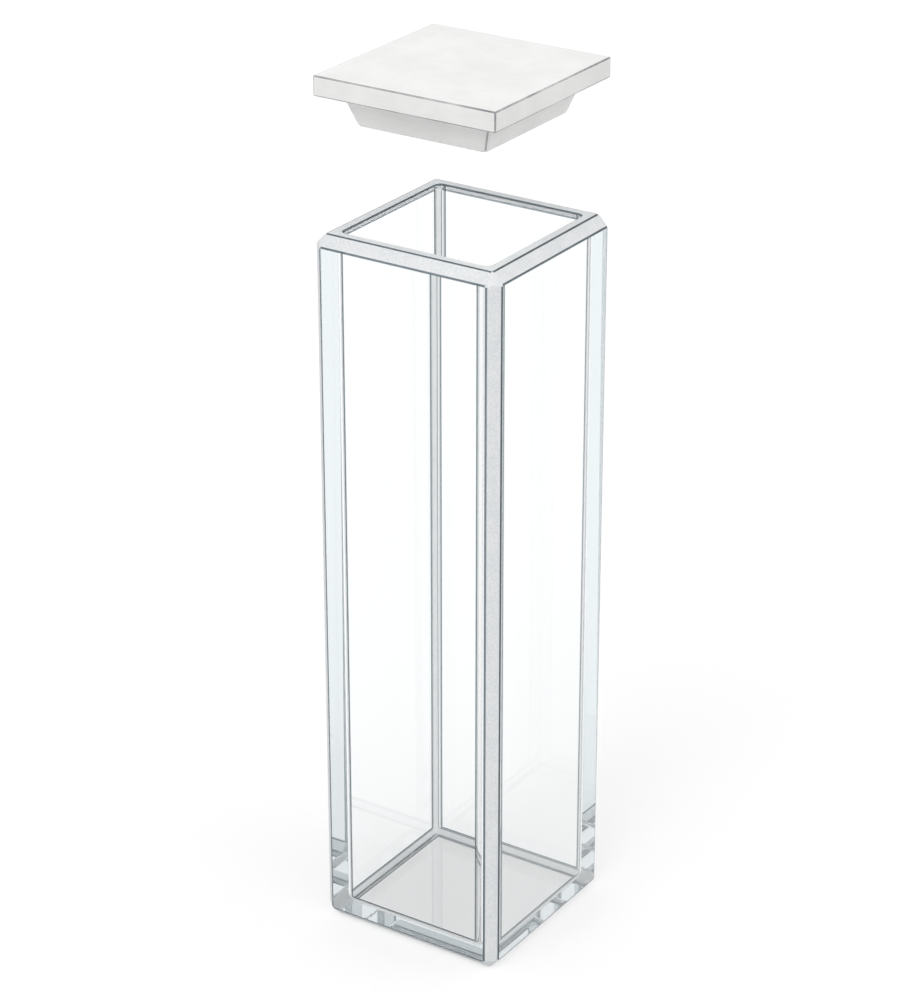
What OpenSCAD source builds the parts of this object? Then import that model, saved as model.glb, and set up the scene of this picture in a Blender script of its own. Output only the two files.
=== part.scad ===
// A square laboratory cell (cuvette) with its lid, in millimetres.
// The cell is one fused glass piece that stands on z = 0 with its axis on Z.
// The lid is a square plate with a tapered plug, and is shown taken off, straight above the mouth.

/* [Cell] */
// Clear width inside the cell, which is the optical path between two facing walls
path = 10; // [5:0.5:20]
// Thickness of each of the four walls
wall = 1.25; // [1:0.05:2.5]
// Thickness of the base
base_t = 1; // [0.8:0.05:4]
// Height of the cell from its foot to its rim
cell_h = 45; // [20:1:60]
// Leg of the 45 degree chamfer ground along every outer edge
edge_chamfer = 0.65; // [0.1:0.05:0.75]
// Radius in the four upright corners and round the floor inside
inner_r = 0.5; // [0.25:0.05:0.9]

/* [Lid] */
// Thickness of the lid's plate
plate_t = 1.2; // [0.6:0.1:3]
// How far each side of the plate stands back from the cell's outer face
plate_setback = 0.25; // [0:0.05:0.5]
// Leg of the small chamfer that breaks the plate's edges
plate_chamfer = 0.1; // [0.05:0.01:0.25]
// Depth of the plug under the plate
plug_h = 1.9; // [1:0.1:5]
// How far each side of the plug leans in from its root to its tip
plug_taper = 0.65; // [0.3:0.05:1.5]
// Gap on each side between the plug's root and the mouth
plug_clearance = 0.07; // [0.03:0.01:0.2]
// Height of the plug's tip above the rim, with the lid taken off
lid_lift = 6.2; // [0.5:0.1:20]

/* [Hidden] */
$fn = 64;

cell_w = path + 2 * wall;              // outer width of the cell
plate_w = cell_w - 2 * plate_setback;  // width of the lid's plate
plug_w = path - 2 * plug_clearance;    // width of the plug at its root
plate_z = cell_h + lid_lift + plug_h;  // underside of the plate

glass_tint = [0.86, 0.93, 0.94, 0.45];
ptfe_white = [0.96, 0.96, 0.95];

// A rectangle with its corners cut at 45 degrees, centred.
module cut_rect(w, d, leg) {
    x = w / 2;
    y = d / 2;
    polygon([
        [x - leg, -y], [x, leg - y], [x, y - leg], [x - leg, y],
        [leg - x, y], [-x, y - leg], [-x, leg - y], [leg - x, -y]
    ]);
}

// A rectangle with round corners, centred.
module round_rect(w, d, r) {
    square([w - 2 * r, d], center = true);
    square([w, d - 2 * r], center = true);
    for (x = [r - w / 2, w / 2 - r], y = [r - d / 2, d / 2 - r])
        translate([x, y]) circle(r);
}

// Sweeps a w by h outline, drawn as width by height, along Y and along X and keeps what both cover.
// The result stands on z = 0.
module both_ways(w, h) {
    intersection_for (turn = [0, 90])
        rotate([90, 0, turn]) translate([0, h / 2, -w])
            linear_extrude(2 * w) children();
}

// A square block that stands on z = 0, with all twelve edges chamfered.
module chamfered_block(w, h, leg) {
    intersection() {
        linear_extrude(h) cut_rect(w, w, leg);
        both_ways(w, h) cut_rect(w, h, leg);
    }
}

// The space inside the cell. It runs on past the rim, so that only its foot is rounded.
module cavity() {
    h = cell_h + path;
    translate([0, 0, base_t]) intersection() {
        linear_extrude(h) round_rect(path, path, inner_r);
        both_ways(path, h) round_rect(path, h, inner_r);
    }
}

// Four walls and a base, fused into one piece.
module cell() {
    color(glass_tint) difference() {
        chamfered_block(cell_w, cell_h, edge_chamfer);
        cavity();
    }
}

// The plug's side view, wide at the top, where it is sunk into the plate by the plate's chamfer.
module plug_side() {
    root = plug_w / 2;
    tip = root - plug_taper;
    polygon([
        [-tip, -plug_h / 2], [tip, -plug_h / 2], [root, plug_h / 2],
        [root, plug_h / 2 + plate_chamfer], [-root, plug_h / 2 + plate_chamfer], [-root, plug_h / 2]
    ]);
}

// The tapered plug. Its root has the mouth's own round corners, less the clearance.
module plug() {
    intersection() {
        linear_extrude(plug_h + plate_chamfer)
            round_rect(plug_w, plug_w, inner_r - plug_clearance);
        both_ways(plug_w, plug_h) plug_side();
    }
}

// A square plate with the plug under it.
module lid() {
    color(ptfe_white) union() {
        translate([0, 0, plate_z]) chamfered_block(plate_w, plate_t, plate_chamfer);
        translate([0, 0, plate_z - plug_h]) plug();
    }
}

cell();
lid();
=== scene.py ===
import math

import bmesh
import bpy
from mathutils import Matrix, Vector


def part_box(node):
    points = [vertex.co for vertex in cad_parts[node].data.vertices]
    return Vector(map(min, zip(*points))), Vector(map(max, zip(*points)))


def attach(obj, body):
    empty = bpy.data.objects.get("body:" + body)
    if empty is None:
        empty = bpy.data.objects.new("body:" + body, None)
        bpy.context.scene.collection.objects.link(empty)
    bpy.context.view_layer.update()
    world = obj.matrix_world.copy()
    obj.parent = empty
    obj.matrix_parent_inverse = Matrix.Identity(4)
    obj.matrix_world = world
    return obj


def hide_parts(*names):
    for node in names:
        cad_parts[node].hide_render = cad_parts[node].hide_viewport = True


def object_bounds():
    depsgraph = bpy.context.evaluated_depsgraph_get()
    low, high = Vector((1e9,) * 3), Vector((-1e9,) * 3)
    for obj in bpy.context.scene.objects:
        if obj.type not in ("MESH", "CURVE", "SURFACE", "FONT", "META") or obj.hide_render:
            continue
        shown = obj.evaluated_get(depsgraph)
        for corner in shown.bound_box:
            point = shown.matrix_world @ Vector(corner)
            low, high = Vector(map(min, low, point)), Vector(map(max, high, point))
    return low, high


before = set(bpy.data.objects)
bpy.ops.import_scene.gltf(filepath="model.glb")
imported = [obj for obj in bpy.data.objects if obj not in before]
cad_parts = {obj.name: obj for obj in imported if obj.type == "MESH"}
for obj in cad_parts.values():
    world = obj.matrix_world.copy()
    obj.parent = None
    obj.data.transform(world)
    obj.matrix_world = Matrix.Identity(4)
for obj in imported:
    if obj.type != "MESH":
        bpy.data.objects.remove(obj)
cad_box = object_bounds()

MM = 0.001
TINY = 0.01 * MM            # what two places may differ by and still be the same
FLAT = 0.999                # a normal's largest part, above which its face lies square to an axis
SHARP = math.radians(30)    # the least turn between two faces that makes a corner

# The cell, as it is ground and fused.
WALL = 1.25 * MM
BASE = 1.0 * MM
CHAMFER = 0.65 * MM
INNER_R = 0.5 * MM
INNER_STEPS = 8
MOUTH_EDGE = 0.1 * MM       # the broken edge round the mouth
MOUTH_STEPS = 3
CRISP_EDGE = 0.07 * MM      # what the polishing leaves on the edge between a window and a chamfer
CRISP_STEPS = 2
LEAN = 0.02                 # the least that a face must lean to count as leaning
CORNER_SHADE_MIDDLE = 0.12          # how much of its painted shade an inner round corner has between its two edges cosine of the turn, from either wall, at which the edges' painted shade ends and at which it is full
CORNER_SHADE_FADE = 0.92            # cosine of the turn, from either wall, at which the edges' tone ends
CORNER_SHADE_FULL = 0.99            # and at which it is full

# The lid, as it is milled from PTFE.
PLATE_T = 1.2 * MM
PLATE_EDGE = 0.08 * MM
PLUG_W = 9.86 * MM
PLUG_TAPER = 0.65 * MM
PLUG_CORNER = 0.3 * MM
PLUG_TIP_EDGE = 0.12 * MM
ROUND_STEPS = 5
DIAGONAL = 0.05             # the most by which a diagonal normal's two large parts differ
BALL = 0.5                  # a normal's least part, above which its face is on a ball shaped corner

# The camera stands on a circle round the cell's axis and looks down at it.
VIEW_AZIMUTH = math.radians(33.31)
VIEW_PITCH = math.radians(25.0)
VIEW_DISTANCE = 170 * MM
VIEW_HEIGHT = 106.9 * MM
VIEW_ASIDE = -0.09 * MM
VIEW_NEAR = 1 * MM
VIEW_FAR = 10.0             # metres
LEVEL = math.radians(90)    # a camera that is tipped up by this much looks level
SENSOR = 36                 # millimetres, across the picture's long side
LENS = 114.0                # millimetres

# The glass. Colours are linear here and below, and grains are in patches per metre.
GLASS_IOR = 1.46
GLASS_TINT = (0.40, 0.60, 0.66, 1.0)
GLASS_DEPTH = 22.0          # absorption per metre of glass
# Painted shade: dark lines where the inner round corners meet the walls, standing in for how the rounds
# bend light.
CORNER_PAINTED_SHADE = (0.03, 0.05, 0.06, 1.0)
# Painted shade: a dark line along each crisp edge between a window and a chamfer, standing in for the
# dark that real polished edges bend in from round about.
CRISP_PAINTED_SHADE = (0.08, 0.11, 0.13, 1.0)
CRISP_POLISH = 0.6          # how much less rough a crisp edge is than a ground face
CRISP_CLEAR = 0.45          # how much less light it scatters
GROUND_DARK = (0.84, 0.87, 0.89, 1.0)
GROUND_PALE = (0.96, 0.97, 0.98, 1.0)
GROUND_ROUGH = 0.75
GROUND_ROUGH_GRIT = 0.2     # what the coarsest grit adds to the roughness
GROUND_SCATTER = 0.80       # the share of light that a ground face scatters back
INNER_CLEAR = 0.6           # how much less of it is scattered for light that comes through the glass
SCATTER_ROUGH = 0.7
GRIT_GRAIN = 8000.0
GRIT_SHARE = 0.7            # the grit's share of the frosting, the rest being its clouds
GRIT_BUMP = 0.5
CLOUD_GRAIN = 700.0
FROST_SPAN = (0.4, 0.6)     # the levels of the noise between which the frosting turns pale

# The PTFE.
PTFE_IOR = 1.38
PTFE_DARK = (0.85, 0.85, 0.84, 1.0)
PTFE_PALE = (0.92, 0.92, 0.91, 1.0)
# Painted shade: a dark line along the lid's edges, standing in for the shade that outlines them.
PTFE_EDGE_SHADE = (0.24, 0.25, 0.26, 1.0)
PTFE_ROUGH = 0.34
PTFE_ROUGH_CLOUD = 0.16     # what a cloud adds to the roughness
PTFE_GLOW = 0.2             # the share of light that goes in and comes out beside
PTFE_GLOW_REACH = 0.4 * MM
PTFE_GLOW_COLOURS = (1.0, 1.0, 0.9)
PTFE_GRAIN = 400.0
PTFE_SPAN = (0.38, 0.62)
PTFE_SHARE = 0.7            # the clouds' share of the mottling, the rest being tool marks
EDGE_SHADE_GAPS = 0.5             # how much of the painted edge shade the palest cloud takes away
TOOL_MARKS = (400.0, 9000.0, 9000.0)    # grooves per metre, long along X
TOOL_BUMP = 0.4
BUMP_HEIGHT = 0.01 * MM     # of the grit and of the tool marks

# The studio.
AMBIENT_SIDE = 0.52         # the world's level at the horizon, as a share of white
AMBIENT_TOP = 0.80          # and overhead
SKY_SPAN = (0.35, 0.9)      # the heights between which the sky that glass and gloss show turns grey
SKY_TOP = 0.7               # its level overhead
LAMP_AIM = (0.0, 0.0, 0.03)
KEY_PLACE = (0.0, -1.18, 1.30)
KEY_W = 1.0
KEY_POWER = 9.0             # watts
FILL_PLACE = (1.19, 0.19, 1.20)
FILL_W = 1.6
FILL_POWER = 4.8
FLOOR_W = 4.0
FLOOR_GAP = 0.05 * MM       # air under the foot, so that glass and floor never share a plane
FLOOR_PAINT = 0.75          # the floor's colour where it lights the object
FLOOR_WHITE = 1.05          # the floor's level where it is seen and nothing shades it
FLOOR_GLOW = 0.60           # of that level, what no shadow takes away
SHADOW_REACH = 0.15         # metres from the axis, past which the shadow fades out
SHADOW_END = 0.60           # metres from the axis, where it ends
GLASS_BOUNCES = 24
GLOSS_BOUNCES = 16


class Value:
    """A number's socket in a node tree. A sum written with it adds its Math nodes."""

    def __init__(self, shading, socket):
        self.shading = shading
        self.socket = socket

    def worked(self, operation, *terms):
        return self.shading.value(
            "ShaderNodeMath", 0, {"operation": operation}, dict(enumerate(terms)))

    def __add__(self, other):
        return self.worked("ADD", self, other)

    def __sub__(self, other):
        return self.worked("SUBTRACT", self, other)

    def __rsub__(self, other):
        return self.worked("SUBTRACT", other, self)

    def __mul__(self, other):
        return self.worked("MULTIPLY", self, other)

    def __lt__(self, other):
        return self.worked("LESS_THAN", self, other)

    def larger(self, other):
        return self.worked("MAXIMUM", self, other)

    __radd__ = __add__
    __rmul__ = __mul__


class Shading:
    """The node tree of one material, or of the world."""

    def __init__(self, owner):
        owner.use_nodes = True
        self.tree = owner.node_tree
        self.tree.nodes.clear()

    def node(self, kind, settings=None, sockets=None):
        """Adds a node: first its settings, then the values or links of its sockets."""
        made = self.tree.nodes.new(kind)
        for name, setting in (settings or {}).items():
            setattr(made, name, setting)
        for name, given in (sockets or {}).items():
            given = given.socket if isinstance(given, Value) else given
            if isinstance(given, bpy.types.NodeSocket):
                self.tree.links.new(given, made.inputs[name])
            else:
                made.inputs[name].default_value = given
        return made

    def value(self, kind, output, settings=None, sockets=None):
        """Adds a node and gives the number that it puts out."""
        return Value(self, self.node(kind, settings, sockets).outputs[output])

    def place(self):
        """Where a point of the piece lies."""
        return self.node("ShaderNodeTexCoord").outputs["Object"]

    def mark(self, name):
        """The level that mark_faces stored on a face."""
        return self.value("ShaderNodeAttribute", "Fac", {"attribute_name": name})

    def noise(self, place, grain, detail=3.0, roughness=0.5):
        """Soft patches, with a level from 0 to 1, of which so many go into a metre."""
        return self.value("ShaderNodeTexNoise", "Fac", None, {
            "Vector": place, "Scale": grain, "Detail": detail, "Roughness": roughness})

    def ramp(self, value, span, low=0.0, high=1.0):
        """Rises, or falls, from low to high while a value crosses a span, and is level beyond."""
        return self.value("ShaderNodeMapRange", "Result", None, {
            "Value": value, "From Min": span[0], "From Max": span[1], "To Min": low, "To Max": high})

    def between(self, factor, low, high):
        """A colour between two colours. The node's sockets share names, so they go by number."""
        mix = self.node("ShaderNodeMix", {"data_type": "RGBA"}, {0: factor, 6: low, 7: high})
        return mix.outputs[2]

    def bump(self, height, strength):
        """The surface's normal, tilted by a fine relief."""
        relief = self.node("ShaderNodeBump", None, {
            "Strength": strength, "Distance": BUMP_HEIGHT, "Height": height})
        return relief.outputs["Normal"]

    def seen(self):
        """1 for a ray that shows something to the camera, straight or by gloss or glass, else 0.

        Once a ray has scattered off something, it only lights.
        """
        path = self.node("ShaderNodeLightPath")
        glossy = Value(self, path.outputs["Is Glossy Ray"])
        through = Value(self, path.outputs["Is Transmission Ray"])
        scattered = Value(self, path.outputs["Diffuse Depth"])
        shown = glossy.larger(through) * (scattered < 0.5)
        return shown.larger(Value(self, path.outputs["Is Camera Ray"]))


def grey(level):
    return (level, level, level, 1.0)


# Modelling, as by hand.

def new_block(name, low, high):
    """A block between two corners, left in edit mode. Its object sits at the origin."""
    bpy.ops.object.select_all(action="DESELECT")
    bpy.ops.mesh.primitive_cube_add(size=1, location=(low + high) / 2)
    block = bpy.context.active_object
    block.name = name
    block.data.name = name
    block.scale = high - low
    bpy.ops.object.transform_apply(location=True, rotation=True, scale=True)
    bpy.ops.object.mode_set(mode="EDIT")
    return block


def pick_faces(block, wanted):
    """Selects the faces whose middle and normal are wanted, and nothing else."""
    bpy.ops.mesh.select_mode(type="FACE")
    bpy.ops.mesh.select_all(action="DESELECT")
    shape = bmesh.from_edit_mesh(block.data)
    for face in shape.faces:
        face.select_set(wanted(face.calc_center_median(), face.normal))
    bmesh.update_edit_mesh(block.data)


def pick_edges(block, wanted):
    """Selects the edges that are wanted by their two ends and the turn between their faces."""
    bpy.ops.mesh.select_mode(type="EDGE")
    bpy.ops.mesh.select_all(action="DESELECT")
    shape = bmesh.from_edit_mesh(block.data)
    for edge in shape.edges:
        end, other_end = edge.verts
        edge.select_set(wanted(end.co, other_end.co, edge.calc_face_angle(0)))
    bmesh.update_edit_mesh(block.data)


def bevel(width, steps):
    bpy.ops.mesh.bevel(offset_type="OFFSET", offset=width, segments=steps, affect="EDGES")


def sink(depth):
    """Extrudes what is selected straight down."""
    bpy.ops.mesh.extrude_region_move(TRANSFORM_OT_translate={"value": (0, 0, -depth)})


def smooth_flats(block):
    """Shades rounds round and flat faces flat, as the largest face at each corner leans."""
    bpy.ops.object.mode_set(mode="OBJECT")
    bpy.ops.object.shade_smooth()
    bpy.ops.object.modifier_add(type="WEIGHTED_NORMAL")
    normals = block.modifiers[-1]
    normals.weight = 100
    bpy.ops.object.modifier_apply(modifier=normals.name)


def mark_faces(block, name, levels):
    """Stores a level from 0 to 1 on each face, for the finish to read."""
    marks = block.data.attributes.new(name, "FLOAT", "FACE")
    marks.data.foreach_set("value", levels)


def reach(point):
    """How far a point lies from the axis, measured square to the nearer windows."""
    return max(abs(point.x), abs(point.y))


def cell_marks(face, inside, rim):
    """How far a face of the cell is ground, is crisp, and takes the painted shade of an inner round
    corner.
    """
    least, middle, most = sorted(map(abs, face.normal))
    leans = most <= FLAT
    on_rim = face.normal.z > FLAT and face.center.z > rim - TINY
    by_mouth = face.center.z > rim - MOUTH_EDGE and reach(face.center) < inside + MOUTH_EDGE
    if by_mouth and not on_rim:
        return 1.0, 1.0, 0.0
    if reach(face.center) > inside + TINY:
        crisp = leans and least < LEAN and most - middle > LEAN
        return float(on_rim or leans), float(crisp), 0.0
    if not leans:
        return 0.0, 0.0, 0.0
    edge = min(1.0, max(0.0, (most - CORNER_SHADE_FADE) / (CORNER_SHADE_FULL - CORNER_SHADE_FADE)))
    return 0.0, 0.0, CORNER_SHADE_MIDDLE + (1 - CORNER_SHADE_MIDDLE) * edge


def glass_cell():
    """The fused cell: chamfered outside, with round inner corners and a ground rim."""
    low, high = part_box("cell")
    inside = high.x - WALL
    cell = new_block("glass_cell", low, high)
    bpy.ops.mesh.select_all(action="SELECT")
    bevel(CHAMFER, 1)

    pick_faces(cell, lambda middle, normal: normal.z > FLAT)
    bpy.ops.mesh.inset(thickness=WALL - CHAMFER)
    sink(high.z - low.z - BASE)
    pick_edges(cell, lambda a, b, turn: max(reach(a), reach(b)) < inside + TINY
               and min(a.z, b.z) < high.z - TINY)
    bevel(INNER_R, INNER_STEPS)
    pick_edges(cell, lambda a, b, turn: max(reach(a), reach(b)) < inside + TINY
               and min(a.z, b.z) > high.z - TINY)
    bevel(MOUTH_EDGE, MOUTH_STEPS)
    pick_edges(cell, lambda a, b, turn: max(reach(a), reach(b)) > high.x - CHAMFER - TINY
               and turn > SHARP)
    bevel(CRISP_EDGE, CRISP_STEPS)
    smooth_flats(cell)

    marks = [cell_marks(face, inside, high.z) for face in cell.data.polygons]
    for name, levels in zip(("ground", "crisp", "corner_shade"), zip(*marks)):
        mark_faces(cell, name, levels)
    return cell


def lid_edge(face, tip, plate):
    """1 if a face of the lid is part of an edge that shows and takes the painted edge shade, else 0."""
    least, middle, most = sorted(map(abs, face.normal))
    leans = most < FLAT
    if face.center.z > plate:
        return float(leans)
    on_tip = leans and face.center.z < tip + PLUG_TIP_EDGE / 2
    on_corner = least < BALL and most - middle < DIAGONAL
    return float(on_tip or on_corner)


def ptfe_lid():
    """The lid: a square plate, with a tapered plug drawn down out of its underside."""
    low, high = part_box("lid")
    plate = high.z - PLATE_T
    lid = new_block("ptfe_lid", Vector((low.x, low.y, plate)), high)
    pick_faces(lid, lambda middle, normal: normal.z < -FLAT)
    bpy.ops.mesh.inset(thickness=high.x - PLUG_W / 2)
    sink(plate - low.z)
    tip = 1 - 2 * PLUG_TAPER / PLUG_W
    bpy.ops.transform.resize(value=(tip, tip, 1), center_override=(0, 0, low.z))

    pick_edges(lid, lambda a, b, turn: reach(a) < high.x - TINY and abs(a.z - b.z) > TINY)
    bevel(PLUG_CORNER, ROUND_STEPS)
    pick_edges(lid, lambda a, b, turn: max(a.z, b.z) < low.z + TINY)
    bevel(PLUG_TIP_EDGE, ROUND_STEPS)
    pick_edges(lid, lambda a, b, turn: min(reach(a), reach(b)) > high.x - TINY)
    bevel(PLATE_EDGE, ROUND_STEPS)
    smooth_flats(lid)
    mark_faces(lid, "edge", [lid_edge(face, low.z, plate) for face in lid.data.polygons])
    return lid


# Finishes.

def fused_quartz():
    """Clear glass, polished on the windows and inside, finely ground on the chamfers and the rim, with
    painted dark shade along the crisp edges and at the inner round corners.
    """
    material = bpy.data.materials.new("fused_quartz")
    shading = Shading(material)
    ground = shading.mark("ground")
    crisp = shading.mark("crisp")
    place = shading.place()
    grit = shading.noise(place, GRIT_GRAIN)
    cloud = shading.noise(place, CLOUD_GRAIN)
    spread = shading.ramp(GRIT_SHARE * grit + (1 - GRIT_SHARE) * cloud, FROST_SPAN)
    frost_and_edge_shade = shading.between(spread, GROUND_DARK, GROUND_PALE)
    # Painted shade: the crisp edges take a dark tone over the frosting.
    frost_and_edge_shade = shading.between(crisp, frost_and_edge_shade, CRISP_PAINTED_SHADE)
    # Painted shade on the inner round corners, over the clear glass.
    clear = shading.between(shading.mark("corner_shade"), grey(1.0), CORNER_PAINTED_SHADE)
    relief = shading.bump(grit, ground * GRIT_BUMP)
    glass = shading.node("ShaderNodeBsdfPrincipled", None, {
        "Base Color": shading.between(ground, clear, frost_and_edge_shade),
        "Roughness": (ground - CRISP_POLISH * crisp) * (GROUND_ROUGH + GROUND_ROUGH_GRIT * grit),
        "IOR": GLASS_IOR,
        "Transmission Weight": 1.0,
        "Normal": relief,
    })
    grain = shading.node("ShaderNodeBsdfPrincipled", None, {
        "Base Color": frost_and_edge_shade,
        "Roughness": SCATTER_ROUGH,
        "IOR": GLASS_IOR,
        "Normal": relief,
    })
    within = shading.value("ShaderNodeNewGeometry", "Backfacing")
    scatter = ground * (GROUND_SCATTER - CRISP_CLEAR * crisp - INNER_CLEAR * within)
    body = shading.node("ShaderNodeMixShader", None,
                        {0: scatter, 1: glass.outputs[0], 2: grain.outputs[0]})
    depth = shading.node("ShaderNodeVolumeAbsorption", None,
                         {"Color": GLASS_TINT, "Density": GLASS_DEPTH})
    shading.node("ShaderNodeOutputMaterial", None,
                 {"Surface": body.outputs[0], "Volume": depth.outputs[0]})
    return material


def milled_ptfe():
    """White PTFE: waxy and faintly cloudy, with fine tool marks and painted dark shade along its edges.
    """
    material = bpy.data.materials.new("milled_ptfe")
    shading = Shading(material)
    place = shading.place()
    cloud = shading.noise(place, PTFE_GRAIN, detail=5.0, roughness=0.6)
    along = shading.node("ShaderNodeMapping", None, {"Vector": place, "Scale": TOOL_MARKS})
    marks = shading.noise(along.outputs["Vector"], 1.0)
    cloudy = shading.ramp(PTFE_SHARE * cloud + (1 - PTFE_SHARE) * marks, PTFE_SPAN)
    tone = shading.between(cloudy, PTFE_DARK, PTFE_PALE)
    # Painted shade along the lid's edges, broken up by the clouds.
    tone = shading.between(shading.mark("edge") * (1 - EDGE_SHADE_GAPS * cloudy), tone, PTFE_EDGE_SHADE)
    ptfe = shading.node("ShaderNodeBsdfPrincipled", None, {
        "Base Color": tone,
        "Roughness": PTFE_ROUGH + PTFE_ROUGH_CLOUD * cloud,
        "IOR": PTFE_IOR,
        "Subsurface Weight": PTFE_GLOW,
        "Subsurface Radius": PTFE_GLOW_COLOURS,
        "Subsurface Scale": PTFE_GLOW_REACH,
        "Normal": shading.bump(marks, TOOL_BUMP),
    })
    shading.node("ShaderNodeOutputMaterial", None, {"Surface": ptfe.outputs[0]})
    return material


def pale_floor():
    """White where it is seen, apart from the shadow on it, and plain pale paint for the light."""
    material = bpy.data.materials.new("pale_floor")
    shading = Shading(material)
    seen = shading.seen()
    away = shading.value("ShaderNodeVectorMath", "Value", {"operation": "LENGTH"}, {0: shading.place()})
    far = shading.ramp(away, (SHADOW_REACH, SHADOW_END))
    near = 1 - far
    shaded = shading.between(near, grey(0.0), grey(FLOOR_WHITE - FLOOR_GLOW))
    paint = shading.between(seen, grey(FLOOR_PAINT), shaded)
    diffuse = shading.node("ShaderNodeBsdfDiffuse", None, {"Color": paint})
    glow = shading.node("ShaderNodeEmission", None, {
        "Color": grey(1.0), "Strength": seen * (FLOOR_GLOW * near + FLOOR_WHITE * far)})
    both = shading.node("ShaderNodeAddShader", None, {0: diffuse.outputs[0], 1: glow.outputs[0]})
    below = shading.value("ShaderNodeNewGeometry", "Backfacing")
    open_air = shading.node("ShaderNodeBsdfTransparent")
    floor = shading.node("ShaderNodeMixShader", None,
                         {0: below, 1: both.outputs[0], 2: open_air.outputs[0]})
    shading.node("ShaderNodeOutputMaterial", None, {"Surface": floor.outputs[0]})
    return material


# The studio.

def studio_world():
    """Soft light from all round, and a white sky behind glass and in gloss, greyer overhead."""
    world = bpy.data.worlds.new("studio")
    bpy.context.scene.world = world
    shading = Shading(world)
    way = shading.node("ShaderNodeTexCoord").outputs["Generated"]
    height = shading.value("ShaderNodeSeparateXYZ", "Z", None, {"Vector": way})
    straight = shading.value("ShaderNodeLightPath", "Is Camera Ray")
    shown = shading.ramp(height, SKY_SPAN, 1.0, SKY_TOP).larger(straight)
    soft = shading.ramp(height, (0.0, 1.0), AMBIENT_SIDE, AMBIENT_TOP)
    seen = shading.seen()
    level = seen * shown + (1 - seen) * soft
    sky = shading.node("ShaderNodeBackground", None, {"Color": grey(1.0), "Strength": level})
    shading.node("ShaderNodeOutputWorld", None, {"Surface": sky.outputs[0]})


def soft_lamp(name, place, width, power):
    """A square lamp that faces the object. Glass and gloss show the plain sky in its place."""
    data = bpy.data.lights.new(name, "AREA")
    data.shape = "SQUARE"
    data.size = width
    data.energy = power
    lamp = bpy.data.objects.new(name, data)
    bpy.context.scene.collection.objects.link(lamp)
    lamp.location = place
    lamp.rotation_euler = (Vector(LAMP_AIM) - Vector(place)).to_track_quat("-Z", "Y").to_euler()
    lamp.visible_transmission = False
    lamp.visible_glossy = False


def studio_floor(foot):
    """The plane that the object stands on. From below it is open air."""
    bpy.ops.object.select_all(action="DESELECT")
    bpy.ops.mesh.primitive_plane_add(size=FLOOR_W, location=(0, 0, foot - FLOOR_GAP))
    floor = bpy.context.active_object
    floor.name = "studio_floor"
    bpy.ops.object.transform_apply(location=True, rotation=True, scale=True)
    floor.data.materials.append(pale_floor())


def studio_camera():
    data = bpy.data.cameras.new("camera")
    data.lens = LENS
    data.sensor_width = SENSOR
    data.clip_start = VIEW_NEAR
    data.clip_end = VIEW_FAR
    camera = bpy.data.objects.new("camera", data)
    bpy.context.scene.collection.objects.link(camera)
    away = Vector((math.sin(VIEW_AZIMUTH), -math.cos(VIEW_AZIMUTH), 0))
    right = Vector((math.cos(VIEW_AZIMUTH), math.sin(VIEW_AZIMUTH), 0))
    camera.location = away * VIEW_DISTANCE + right * VIEW_ASIDE + Vector((0, 0, VIEW_HEIGHT))
    camera.rotation_euler = (LEVEL - VIEW_PITCH, 0, VIEW_AZIMUTH)
    bpy.context.scene.camera = camera


def light_paths():
    """Enough bounces for light that runs on inside the walls."""
    cycles = bpy.context.scene.cycles
    cycles.max_bounces = GLASS_BOUNCES
    cycles.transmission_bounces = GLASS_BOUNCES
    cycles.glossy_bounces = GLOSS_BOUNCES


studio_camera()
studio_world()
studio_floor(cad_box[0].z)
soft_lamp("key", KEY_PLACE, KEY_W, KEY_POWER)
soft_lamp("fill", FILL_PLACE, FILL_W, FILL_POWER)

cell = glass_cell()
cell.data.materials.append(fused_quartz())
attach(cell, "root")
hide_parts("cell")

lid = ptfe_lid()
lid.data.materials.append(milled_ptfe())
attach(lid, "root")
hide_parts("lid")

light_paths()
bpy.context.scene.view_settings.view_transform = "Standard"
